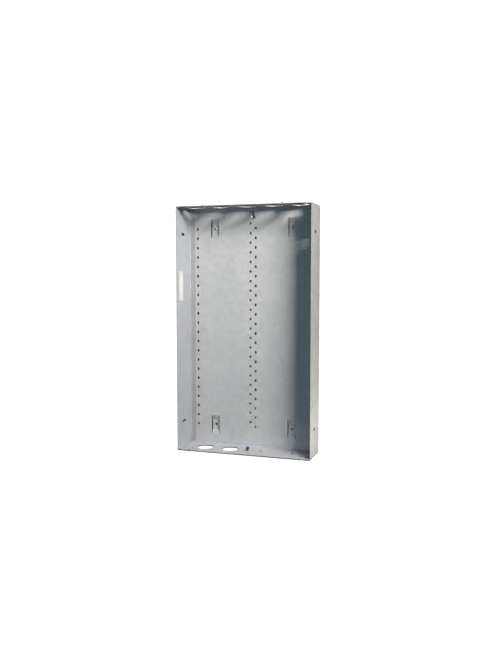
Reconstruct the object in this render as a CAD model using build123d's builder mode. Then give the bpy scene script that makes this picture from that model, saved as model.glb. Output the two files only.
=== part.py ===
"""Open panel box of galvanised sheet steel, for fixing between wall studs or on a wall.

Frame: +X to the right, +Z up, the open front faces -Y. The origin is under the middle of the box,
on the surface that it stands on. All dimensions are in millimetres.
"""

import os

from build123d import *

os.makedirs("parts", exist_ok=True)

# Driving dimensions of the box
box_width = 362.0  # outside, with a little room in a 368 mm bay between studs
box_height = 641.35  # outer face of one end wall to outer face of the other
box_depth = 95.25  # front edge to the outer face of the back panel
sheet = 1.2
bend_inside = 1.2
panel_lip = 3.0  # how far the back panel stands past each end wall

# Folded edges
side_rear_flange = 16.0
side_end_flange = 12.0
end_rear_flange = 10.0
flange_relief = 6.0  # gap left at a corner where two flanges would meet
end_wall_inset = 1.0  # end wall's ends, in from the outside of the side walls
keyhole_notch = 26.0  # gap in the upper end wall's rear flange, round the keyhole

# Back panel
hole_pitch = 25.4
holes_per_column = 22
outer_column_x = 158.0
inner_column_x = 7.15
column_stagger = hole_pitch / 2  # the round holes lie this far above the oval ones
round_hole_radius = 3.175
oval_hole_width = 5.5
oval_hole_height = 8.0
keyhole_drop = 24.2  # top of the box to the middle of the keyhole's round part
keyhole_radius = 5.0
keyhole_slot_width = 5.0
keyhole_slot_rise = 14.5

# Mounting feet, pressed out of the back panel towards the wall
foot_x = 108.0
foot_spacing_z = 533.4
foot_width = 20.0
foot_length = 50.0
foot_rise = 6.0
foot_ramp = 12.0
foot_slit = 1.6
foot_hole_radius = 3.5

# Side walls
stud_slot_end = 69.85  # end of the box to the middle of a slot
stud_slot_depth = 44.0  # front edge to the middle of a slot
stud_slot_length = 20.0
stud_slot_width = 7.0
pilot_drop = 24.0
pilot_radius = 2.0
pilot_depth = 0.4
depth_slot_y = 24.0  # front edge to the middle of an upright slot
depth_slot_end = 136.5
depth_slot_height = 21.0
depth_slot_width = 3.2

# End walls
opening_radius = 22.25
opening_pitch = 71.0
upper_openings = 5
lower_opening_first_x = 49.2
lower_opening_second_x = 120.2
spare_hole_x = 150.0
spare_hole_depth = 26.0
spare_hole_radius = 3.75

# Knockout slugs, still held in the bottom end wall by their ties
slug_gap = 0.3
slug_tie_width = 3.0
slug_hole_radius = 5.0
inner_slug_hole_offset = -14.8
outer_slug_hole_offset = 1.2

# Cover nuts, pressed into the end walls
nut_radius = 3.5
nut_height = panel_lip
nut_spigot_radius = 2.7
nut_thread_radius = 1.75
nut_depth = 6.0  # front edge to a nut's axis
upper_nut_x = 106.5
lower_nut_x = 150.0

# Ground screw
screw_x = 2.0
screw_depth = 42.0
screw_radius = 2.4
screw_tip_clearance = 0.6
screw_standoff = 5.2
screw_washer_radius = 5.2
screw_washer_height = 1.0
screw_hex_radius = 4.6
screw_hex_height = 3.8
screw_slot_width = 1.2
screw_slot_depth = 1.4

# Label
label_length = 77.0
label_width = 25.0
label_thickness = 0.2
label_front = 16.0
label_drop = 168.0
label_notch = 6.0

# Places worked out from the dimensions above
bend_outside = bend_inside + sheet
half_width = box_width / 2
y_front = -(box_depth + foot_rise) / 2
y_back = y_front + box_depth
y_inner = y_back - sheet
y_opening = y_front + box_depth / 2
z_low = panel_lip
z_high = z_low + box_height
z_mid = z_low + box_height / 2
panel_height = box_height + 2 * panel_lip
side_low = z_low + sheet
side_high = z_high - sheet
flange_span_x = half_width - side_rear_flange - 3.0


def folded_sheet(*points, side):
    """Closed section of a folded sheet on the open sketch, from the corners of its outer face."""
    with BuildLine(mode=Mode.PRIVATE) as outline:
        FilletPolyline(*points, radius=bend_outside)
        offset(amount=sheet, side=side)
    make_face(outline.edges())


def front_facing(y):
    """Upright plane at y that looks along -Y, with x to the right and z up."""
    return Plane.XZ.offset(-y)


# ---------------------------------------------------------------- back panel
with BuildPart() as back_panel:
    with BuildSketch(front_facing(y_back)):
        with Locations((0, z_mid)):
            Rectangle(box_width, panel_height)
        for x in (-outer_column_x, inner_column_x):
            with Locations((x, z_mid)):
                with GridLocations(1, hole_pitch, 1, holes_per_column):
                    SlotOverall(oval_hole_height, oval_hole_width, 90, mode=Mode.SUBTRACT)
        for x in (-inner_column_x, outer_column_x):
            with Locations((x, z_mid + column_stagger)):
                with GridLocations(1, hole_pitch, 1, holes_per_column):
                    Circle(round_hole_radius, mode=Mode.SUBTRACT)
        with Locations((0, z_high - keyhole_drop)):
            Circle(keyhole_radius, mode=Mode.SUBTRACT)
        with Locations((0, z_high - keyhole_drop + keyhole_slot_rise / 2)):
            SlotOverall(keyhole_slot_rise + keyhole_slot_width / 2, keyhole_slot_width, 90,
                        mode=Mode.SUBTRACT)
        with Locations((0, z_mid)):
            with GridLocations(2 * foot_x, foot_spacing_z, 2, 2):
                Rectangle(foot_width + 2 * foot_slit, foot_length, mode=Mode.SUBTRACT)
    extrude(amount=sheet)

    for foot_z in (z_mid - foot_spacing_z / 2, z_mid + foot_spacing_z / 2):
        for x in (-foot_x, foot_x):
            with BuildSketch(Plane.YZ.offset(x - foot_width / 2)):
                with BuildLine():
                    half = foot_length / 2
                    Polyline(
                        (y_inner, foot_z - half),
                        (y_inner + foot_rise, foot_z - half + foot_ramp),
                        (y_inner + foot_rise, foot_z + half - foot_ramp),
                        (y_inner, foot_z + half),
                        (y_back, foot_z + half),
                        (y_back + foot_rise, foot_z + half - foot_ramp),
                        (y_back + foot_rise, foot_z - half + foot_ramp),
                        (y_back, foot_z - half),
                        close=True,
                    )
                make_face()
            extrude(amount=foot_width)
    with BuildSketch(front_facing(y_back + foot_rise)):
        with Locations((0, z_mid)):
            with GridLocations(2 * foot_x, foot_spacing_z, 2, 2):
                Circle(foot_hole_radius)
    extrude(amount=sheet, mode=Mode.SUBTRACT)
back_panel.part.label = "back_panel"


# ---------------------------------------------------------------- side walls
with BuildPart() as right_side_wall:
    with BuildSketch(front_facing(y_front)):
        folded_sheet(
            (half_width - side_end_flange, side_low),
            (half_width, side_low),
            (half_width, side_high),
            (half_width - side_end_flange, side_high),
            side=Side.LEFT,
        )
    extrude(amount=-(y_inner - y_front - flange_relief))
    with BuildSketch(Plane.XY.offset(side_low + flange_relief)):
        folded_sheet(
            (half_width, y_front),
            (half_width, y_inner),
            (half_width - side_rear_flange, y_inner),
            side=Side.LEFT,
        )
    extrude(amount=side_high - side_low - 2 * flange_relief)

    slot_y = y_front + stud_slot_depth
    with BuildSketch(Plane.YZ.offset(half_width)):
        with Locations((slot_y, z_mid)):
            with GridLocations(1, box_height - 2 * stud_slot_end, 1, 2):
                SlotOverall(stud_slot_length, stud_slot_width)
        with Locations((y_front + depth_slot_y, z_mid)):
            with GridLocations(1, box_height - 2 * depth_slot_end, 1, 2):
                SlotOverall(depth_slot_height, depth_slot_width, 90)
    extrude(amount=-sheet, mode=Mode.SUBTRACT)
    pilot_places = [
        (slot_y, z_low + stud_slot_end - pilot_drop),
        (slot_y, z_high - stud_slot_end - pilot_drop),
    ]
    with BuildSketch(Plane.YZ.offset(half_width)):
        with Locations(*pilot_places):
            Circle(pilot_radius)
    extrude(amount=-pilot_depth, mode=Mode.SUBTRACT)
    with BuildSketch(Plane.YZ.offset(half_width - sheet)):
        with Locations(*pilot_places):
            Circle(pilot_radius)
    extrude(amount=pilot_depth, mode=Mode.SUBTRACT)
right_side_wall.part.label = "right_side_wall"

with BuildPart() as left_side_wall:
    mirror(right_side_wall.part, about=Plane.YZ)
left_side_wall.part.label = "left_side_wall"


# ---------------------------------------------------------------- end walls
def end_wall_blank(outer_z, inward):
    """Flat end wall with its rear flange, on the open part. inward is the sign of z into the box."""
    with BuildSketch(Plane.YZ.offset(-flange_span_x)) as fold:
        folded_sheet(
            (y_front, outer_z),
            (y_inner, outer_z),
            (y_inner, outer_z + inward * end_rear_flange),
            side=Side.LEFT if inward > 0 else Side.RIGHT,
        )
    extrude(fold.sketch, amount=2 * flange_span_x)
    with BuildSketch(Plane.XY.offset(outer_z)) as ends:
        with Locations((0, (y_front + y_inner) / 2)):
            Rectangle(box_width - 2 * end_wall_inset, y_inner - y_front)
            Rectangle(2 * flange_span_x, y_inner - y_front, mode=Mode.SUBTRACT)
    extrude(ends.sketch, amount=inward * sheet)


with BuildPart() as top_end_wall:
    end_wall_blank(z_high, -1)
    with BuildSketch(Plane.XY.offset(z_high)):
        with Locations((0, y_opening)):
            with GridLocations(opening_pitch, 1, upper_openings, 1):
                Circle(opening_radius)
        with Locations((-upper_nut_x, y_front + nut_depth), (upper_nut_x, y_front + nut_depth)):
            Circle(nut_spigot_radius)
    extrude(amount=-sheet, mode=Mode.SUBTRACT)
    with BuildSketch(front_facing(y_inner)):
        with Locations((0, z_high - bend_outside - end_rear_flange / 2)):
            Rectangle(keyhole_notch, end_rear_flange)
    extrude(amount=sheet, mode=Mode.SUBTRACT)
top_end_wall.part.label = "top_end_wall"

with BuildPart() as bottom_end_wall:
    end_wall_blank(z_low, 1)
    with BuildSketch(Plane.XY.offset(z_low)):
        for x in (lower_opening_first_x, lower_opening_second_x):
            with Locations((-x, y_opening), (x, y_opening)):
                Circle(opening_radius)
        for x in (-spare_hole_x, spare_hole_x):
            with Locations((x, y_front + spare_hole_depth)):
                Circle(spare_hole_radius)
        for x in (-lower_nut_x, lower_nut_x):
            with Locations((x, y_front + nut_depth)):
                Circle(nut_spigot_radius)
        with Locations((screw_x, y_front + screw_depth)):
            Circle(screw_radius)
    extrude(amount=sheet, mode=Mode.SUBTRACT)
bottom_end_wall.part.label = "bottom_end_wall"


# ---------------------------------------------------------------- knockout slugs
def slug_section(x, hole_offset):
    """Round slug with a tie on each side, on the open sketch. hole_offset is its hole's place in x."""
    with Locations((x, y_opening)):
        Circle(opening_radius)
        Rectangle(slug_tie_width, 2 * opening_radius, mode=Mode.INTERSECT)
        Circle(opening_radius - slug_gap)
    with Locations((x + hole_offset, y_opening)):
        Circle(slug_hole_radius, mode=Mode.SUBTRACT)


with BuildPart() as inner_knockout_slug:
    with BuildSketch(Plane.XY.offset(z_low)):
        slug_section(lower_opening_first_x, inner_slug_hole_offset)
    extrude(amount=sheet)
inner_knockout_slug.part.label = "inner_knockout_slug"

with BuildPart() as outer_knockout_slug:
    with BuildSketch(Plane.XY.offset(z_low)):
        slug_section(lower_opening_second_x, outer_slug_hole_offset)
    extrude(amount=sheet)
outer_knockout_slug.part.label = "outer_knockout_slug"


# ---------------------------------------------------------------- cover nuts
def cover_nut(x, outer_z, inward):
    """Nut with its body outside the end wall and its spigot in the wall, on the open part."""
    for radius, height in ((nut_radius, -inward * nut_height), (nut_spigot_radius, inward * sheet)):
        with BuildSketch(Plane.XY.offset(outer_z)) as ring:
            with Locations((x, y_front + nut_depth)):
                Circle(radius)
                Circle(nut_thread_radius, mode=Mode.SUBTRACT)
        extrude(ring.sketch, amount=height)


with BuildPart() as upper_cover_nuts:
    cover_nut(-upper_nut_x, z_high, -1)
    cover_nut(upper_nut_x, z_high, -1)
upper_cover_nuts.part.label = "upper_cover_nuts"

with BuildPart() as lower_cover_nuts:
    cover_nut(-lower_nut_x, z_low, 1)
    cover_nut(lower_nut_x, z_low, 1)
lower_cover_nuts.part.label = "lower_cover_nuts"


# ---------------------------------------------------------------- ground screw
screw_tip_z = screw_tip_clearance
screw_head_z = z_low + sheet + screw_standoff
with BuildPart() as ground_screw:
    screw_place = (screw_x, y_front + screw_depth)
    with BuildSketch(Plane.XY.offset(screw_tip_z)):
        with Locations(screw_place):
            Circle(screw_radius)
    extrude(amount=screw_head_z - screw_tip_z)
    chamfer(ground_screw.faces().sort_by(Axis.Z)[0].edges(), 0.8)
    with BuildSketch(Plane.XY.offset(screw_head_z)):
        with Locations(screw_place):
            Circle(screw_washer_radius)
    extrude(amount=screw_washer_height)
    with BuildSketch(Plane.XY.offset(screw_head_z + screw_washer_height)):
        with Locations(screw_place):
            RegularPolygon(screw_hex_radius, 6)
    extrude(amount=screw_hex_height)
    chamfer(ground_screw.faces().sort_by(Axis.Z)[-1].edges(), 0.5)
    with BuildSketch(ground_screw.faces().sort_by(Axis.Z)[-1]):
        Rectangle(4 * screw_hex_radius, screw_slot_width)
    extrude(amount=-screw_slot_depth, mode=Mode.SUBTRACT)
ground_screw.part.label = "ground_screw"


# ---------------------------------------------------------------- label
label_y = y_front + label_front + label_width / 2
label_z = z_high - label_drop - label_length / 2
with BuildPart() as rating_label:
    with BuildSketch(Plane.YZ.offset(-half_width + sheet)):
        with Locations((label_y, label_z)):
            Rectangle(label_width, label_length)
        with Locations((label_y + label_width / 2, label_z + label_length / 2 - 10)):
            Rectangle(label_notch, label_notch, mode=Mode.SUBTRACT)
    extrude(amount=label_thickness)
rating_label.part.label = "rating_label"


# ---------------------------------------------------------------- files
for piece in (
    back_panel,
    right_side_wall,
    left_side_wall,
    top_end_wall,
    bottom_end_wall,
    inner_knockout_slug,
    outer_knockout_slug,
    upper_cover_nuts,
    lower_cover_nuts,
    ground_screw,
    rating_label,
):
    export_step(piece.part, f"parts/{piece.part.label}.step")
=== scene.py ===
import math

import bpy
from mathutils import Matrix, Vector


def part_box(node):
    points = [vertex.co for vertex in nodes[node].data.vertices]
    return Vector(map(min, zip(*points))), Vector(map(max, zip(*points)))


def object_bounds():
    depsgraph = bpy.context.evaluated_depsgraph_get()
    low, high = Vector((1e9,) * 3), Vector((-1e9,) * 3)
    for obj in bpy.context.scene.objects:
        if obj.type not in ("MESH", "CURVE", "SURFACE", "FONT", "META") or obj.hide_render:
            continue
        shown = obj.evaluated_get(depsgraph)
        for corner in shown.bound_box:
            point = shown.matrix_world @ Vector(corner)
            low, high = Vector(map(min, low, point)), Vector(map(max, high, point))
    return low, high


# Open-fronted galvanised wall box in a plain studio. Lengths are in metres, angles in degrees and
# lamp powers in watts.
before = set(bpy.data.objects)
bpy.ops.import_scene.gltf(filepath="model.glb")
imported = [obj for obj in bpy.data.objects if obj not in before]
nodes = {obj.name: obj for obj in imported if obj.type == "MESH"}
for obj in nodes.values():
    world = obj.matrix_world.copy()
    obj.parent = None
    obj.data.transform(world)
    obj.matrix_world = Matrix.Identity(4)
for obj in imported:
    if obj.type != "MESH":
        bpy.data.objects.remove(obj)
cad_low, cad_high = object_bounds()
centre = (cad_low + cad_high) / 2
panel_low, panel_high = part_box("back_panel")


# ------------------------------------------------------------------ camera
camera_place = (0.5832, -1.7563, 0.4629)
camera_turn = (85.40, -0.02, 18.205)

camera_data = bpy.data.cameras.new("camera")
camera_data.sensor_width = 36.0
camera_data.lens = 38.24
camera_data.clip_start = 0.05
camera_data.clip_end = 50.0
camera = bpy.data.objects.new("camera", camera_data)
camera.location = camera_place
camera.rotation_euler = [math.radians(a) for a in camera_turn]
bpy.context.scene.collection.objects.link(camera)
bpy.context.scene.camera = camera
bpy.context.scene.view_settings.view_transform = "Standard"


# ------------------------------------------------------------------ node helpers
class Shader:
    """A material's node tree, with short calls to add and join nodes."""

    def __init__(self, name):
        self.material = bpy.data.materials.new(name)
        self.material.use_nodes = True
        self.tree = self.material.node_tree
        self.tree.nodes.clear()
        self.output = self.tree.nodes.new("ShaderNodeOutputMaterial")

    def add(self, kind, settings=None, **inputs):
        """A new node. settings are its properties; inputs are values or sockets, by input name."""
        made = self.tree.nodes.new(kind)
        for key, value in (settings or {}).items():
            setattr(made, key, value)
        for key, value in inputs.items():
            self.put(made, key.replace("_", " "), value)
        return made

    def put(self, made, key, value):
        """Sets one input, by name or by number, to a value or to another node's socket."""
        socket = made.inputs[key]
        if isinstance(value, bpy.types.NodeSocket):
            self.tree.links.new(value, socket)
        else:
            socket.default_value = value

    def place(self, stretch=(1, 1, 1), offset=(0, 0, 0)):
        """Coordinates in the row's frame, stretched and moved."""
        coordinates = self.add("ShaderNodeTexCoord").outputs["Object"]
        return self.add("ShaderNodeMapping", Vector=coordinates, Scale=stretch, Location=offset).outputs[0]

    def noise(self, where, per_metre, detail, roughness=0.5):
        """Cloudy noise from 0 to 1. per_metre says how closely its clouds lie."""
        made = self.add("ShaderNodeTexNoise", Vector=where, Scale=per_metre, Detail=detail,
                        Roughness=roughness)
        return made.outputs[0]

    def multiply_add(self, kind, value, factor, base):
        """value times factor plus base, on numbers or on vectors as the kind of node says."""
        made = self.add(kind, {"operation": "MULTIPLY_ADD"})
        for number, term in enumerate((value, factor, base)):
            self.put(made, number, term)
        return made.outputs[0]

    def total(self, base, *parts):
        """base plus each part, a socket and its weight."""
        for socket, weight in parts:
            base = self.multiply_add("ShaderNodeMath", socket, weight, base)
        return base

    def ramp(self, factor, *stops):
        """A colour ramp of two stops, each a place from 0 to 1 and a colour."""
        made = self.add("ShaderNodeValToRGB", Fac=factor)
        for point, (where, colour) in zip(made.color_ramp.elements, stops):
            point.position = where
            point.color = (*colour, 1)
        return made.outputs["Color"]

    def finish(self, surface):
        """Joins the surface to the output and gives the material."""
        self.tree.links.new(surface, self.output.inputs["Surface"])
        return self.material


# ------------------------------------------------------------------ materials
sheet_light = (0.51, 0.515, 0.515)
sheet_dark = (0.40, 0.405, 0.41)
crystal_warp = (0.006, 0.006, 0.006)


def galvanised(name, offset, rolled, shading_tint=(1.0, 1.0, 1.0)):
    """Galvanised sheet: zinc crystals, rolling streaks, dull patches and fine grain.
    rolled stretches the streaks along the direction in which the sheet was rolled."""
    s = Shader(name)
    flat = s.place(offset=offset)
    warp = s.add("ShaderNodeTexNoise", Vector=flat, Scale=160.0, Detail=3.0, Roughness=0.6)
    warped = s.multiply_add("ShaderNodeVectorMath", warp.outputs["Color"], crystal_warp, flat)
    crystals = s.add("ShaderNodeTexVoronoi", Vector=warped, Scale=95.0, Randomness=1.0)
    crystal = s.add("ShaderNodeSeparateColor", Color=crystals.outputs["Color"]).outputs[0]
    streaks = s.noise(s.place(rolled, offset), 60.0, 4.0, 0.55)
    patches = s.noise(flat, 9.0, 4.0, 0.6)
    grain = s.noise(flat, 1400.0, 2.0, 0.6)

    # shading_tint scales the sheet's colours: painted shade, a darker or bluer copy of one sheet that
    # stands in for how the light falls on one wall.
    light = [c * v for c, v in zip(shading_tint, sheet_light)]
    dark = [c * v for c, v in zip(shading_tint, sheet_dark)]
    tone = s.total(0.18, (crystal, 0.22), (streaks, 0.30), (patches, 0.16), (grain, 0.14))
    colour = s.ramp(tone, (0.30, dark), (0.86, light))
    rough = s.total(0.40, (crystal, 0.10), (patches, 0.14), (grain, 0.06))
    height = s.total(0.0, (grain, 0.25), (streaks, 0.5), (patches, 0.8))
    bump = s.add("ShaderNodeBump", Height=height, Strength=0.10, Distance=0.0006)
    surface = s.add("ShaderNodeBsdfPrincipled", Base_Color=colour, Roughness=rough,
                    Metallic=0.35, Normal=bump.outputs[0])
    return s.finish(surface.outputs[0])


def plated(name, light, dark, metallic, roughness):
    """Plated or coated small steel piece, with fine mottling and tool marks."""
    s = Shader(name)
    flat = s.place()
    mottle = s.noise(flat, 420.0, 4.0, 0.6)
    marks = s.noise(flat, 2600.0, 2.0)
    colour = s.ramp(mottle, (0.3, dark), (0.72, light))
    rough = s.total(roughness, (marks, 0.2))
    bump = s.add("ShaderNodeBump", Height=marks, Strength=0.15, Distance=0.0002)
    surface = s.add("ShaderNodeBsdfPrincipled", Base_Color=colour, Roughness=rough,
                    Metallic=metallic, Normal=bump.outputs[0])
    return s.finish(surface.outputs[0])


def paper(name, light, dark):
    """Blank paper face of a label, with fibres and faint stains."""
    s = Shader(name)
    fibres = s.noise(s.place(), 900.0, 5.0)
    stains = s.noise(s.place(), 45.0, 3.0)
    colour = s.ramp(s.total(0.0, (fibres, 0.3), (stains, 0.7)), (0.3, dark), (0.6, light))
    bump = s.add("ShaderNodeBump", Height=fibres, Strength=0.1, Distance=0.0001)
    surface = s.add("ShaderNodeBsdfPrincipled", Base_Color=colour, Roughness=0.8,
                    Specular_IOR_Level=0.2, Normal=bump.outputs[0])
    return s.finish(surface.outputs[0])


def dress(node, material):
    """Gives a CAD node one material in place of its plain one."""
    slots = nodes[node].data.materials
    slots.clear()
    slots.append(material)


# Stretches for sheets rolled along z and along x
upright = (6.0, 6.0, 0.35)
across = (0.35, 6.0, 6.0)

dress("back_panel", galvanised("back_sheet", (0, 0, 0), upright))
# All walls are the same sheet. The side, top and bottom walls get darker or bluer copies of its colour,
# painted shade for how the light falls on each wall.
dress("left_side_wall", galvanised("left_sheet", (3.1, 0, 0.4), upright, (0.74, 0.765, 0.82)))
dress("right_side_wall", galvanised("right_sheet", (7.7, 0, 1.3), upright, (0.68, 0.68, 0.67)))
dress("top_end_wall", galvanised("top_sheet", (0.4, 2.2, 0), across, (0.86, 0.86, 0.87)))
bottom_sheet = galvanised("bottom_sheet", (1.9, 5.1, 0), across, (0.91, 0.93, 1.0))
for piece in ("bottom_end_wall", "inner_knockout_slug", "outer_knockout_slug"):
    dress(piece, bottom_sheet)
nut_zinc = plated("nut_zinc", (0.40, 0.39, 0.37), (0.27, 0.27, 0.26), 0.8, 0.35)
for piece in ("upper_cover_nuts", "lower_cover_nuts"):
    dress(piece, nut_zinc)
dress("ground_screw", plated("screw_coating", (0.06, 0.10, 0.085), (0.03, 0.05, 0.045), 0.4, 0.3))
dress("rating_label", paper("label_film", (0.47, 0.47, 0.465), (0.40, 0.40, 0.395)))


# ------------------------------------------------------------------ stage
stage_white = (0.6, 0.6, 0.6, 1)


def surface(name, verts, faces):
    """A staged mesh in plain matt white. It takes light and shadow, and gives none to the object."""
    mesh = bpy.data.meshes.new(name)
    mesh.from_pydata(verts, [], faces)
    made = bpy.data.objects.new(name, mesh)
    bpy.context.scene.collection.objects.link(made)
    s = Shader(name)
    mesh.materials.append(s.finish(s.add("ShaderNodeBsdfDiffuse", Color=stage_white).outputs[0]))
    made.visible_diffuse = False
    made.visible_glossy = False
    return made


def upright_quad(x0, y0, x1, y1, height):
    """Corners of an upright rectangle that stands on the floor line from (x0, y0) to (x1, y1)."""
    return [(x0, y0, 0), (x1, y1, 0), (x1, y1, height), (x0, y0, height)]


def studio(reach, front, rear, height):
    """Pale floor, an upright backdrop at its rear, and pale walls round its other three sides."""
    corners = [(-reach, front, 0), (reach, front, 0), (reach, rear, 0), (-reach, rear, 0)]
    floor = surface("floor", corners, [(0, 1, 2, 3)])
    backdrop = surface("backdrop", upright_quad(-reach, rear, reach, rear, height), [(0, 1, 2, 3)])
    verts = []
    for ends in ((-reach, rear, -reach, front), (-reach, front, reach, front), (reach, front, reach, rear)):
        verts += upright_quad(*ends, height)
    walls = surface("studio_walls", verts, [(i, i + 1, i + 2, i + 3) for i in (0, 4, 8)])
    return floor, backdrop, walls


floor, backdrop, walls = studio(reach=6.0, front=-7.0, rear=1.5, height=5.0)


# ------------------------------------------------------------------ lamps
pieces = list(nodes.values())
warm = (1.0, 0.96, 0.90)
cool = (0.60, 0.82, 1.0)
white = (1.0, 1.0, 1.0)


def hang(made, place, lit, colour, power):
    """Puts a lamp in the scene, looking at the object's middle and lighting only some objects."""
    made.data.energy = power
    made.data.color = colour
    made.location = place
    made.rotation_euler = (centre - Vector(place)).to_track_quat("-Z", "Y").to_euler()
    made.visible_camera = False
    bpy.context.scene.collection.objects.link(made)
    receivers = bpy.data.collections.new(made.name + "_lit")
    for thing in lit:
        receivers.objects.link(thing)
    made.light_linking.receiver_collection = receivers


def softbox(name, place, size, lit, colour, power):
    """Rectangular lamp of a width and height."""
    data = bpy.data.lights.new(name, "AREA")
    data.shape = "RECTANGLE"
    data.size, data.size_y = size
    hang(bpy.data.objects.new(name, data), place, lit, colour, power)


def bare_bulb(name, place, radius, lit, power):
    """Round lamp that shines every way and lights a flat surface evenly all over. Its light grows
    with the cube of the distance, which cancels the loss with distance and with slant."""
    data = bpy.data.lights.new(name, "POINT")
    data.shadow_soft_size = radius
    data.use_nodes = True
    tree = data.node_tree
    by_distance = tree.nodes.new("ShaderNodeLightFalloff")
    by_distance.inputs["Strength"].default_value = 1.0
    by_square = tree.nodes.new("ShaderNodeLightFalloff")
    tree.links.new(by_distance.outputs["Linear"], by_square.inputs["Strength"])
    tree.links.new(by_square.outputs["Constant"], tree.nodes["Emission"].inputs["Strength"])
    hang(bpy.data.objects.new(name, data), place, lit, white, power)


def towards(right, up, distance):
    """Place at a distance from the object's middle. right and up are degrees from straight in front."""
    a, e = math.radians(right), math.radians(up)
    way = Vector((math.sin(a) * math.cos(e), -math.cos(a) * math.cos(e), math.sin(e)))
    return centre + way * distance


def behind_camera(factor, right=0.0, rise=0.0):
    """Place on the line from the back panel's middle through the camera, past it by a factor, then
    moved to the right as seen from there, and up."""
    middle = (panel_low + panel_high) / 2
    way = camera.location - middle
    sideways = Vector((-way.y, way.x, 0)).normalized()
    return middle + way * factor + sideways * right + Vector((0, 0, rise))


# The object's lamps
low_right = (cad_high.x + 0.22, centre.y, 0.03)
softbox("key", towards(51, 31, 1.35), (0.54, 0.40), pieces, warm, 44.5)
softbox("left_fill", towards(-25, -7, 2.0), (0.9, 0.8), pieces, cool, 8.5)
softbox("low_reflector", low_right, (0.10, 0.08), pieces, warm, 0.95)
softbox("rear_fill", towards(-140, 22, 2.0), (1.0, 1.0), pieces, white, 60.0)

# The stage's lamps. The first two stand nearly in line with the camera and the back panel, so the
# box hides most of its own shadow from the camera, and its small holes show that shadow.
high_lamp = behind_camera(1.22, -0.022)
high_lamp.z = 1.44
bare_bulb("backdrop_light", behind_camera(1.26, 0.0175, -0.0765), 0.002, [backdrop], 21.0)
bare_bulb("floor_light", high_lamp, 0.003, [floor], 54.0)
bare_bulb("wall_light", (0, -2.5, 2.5), 0.3, [walls], 16.0)
softbox("stage_fill", (0, -1.0, 4.0), (3.0, 3.0), [floor, backdrop], white, 5.0)

world = bpy.data.worlds.new("studio")
world.use_nodes = True
background = world.node_tree.nodes["Background"]
background.inputs["Color"].default_value = (*cool, 1)
background.inputs["Strength"].default_value = 0.04
bpy.context.scene.world = world
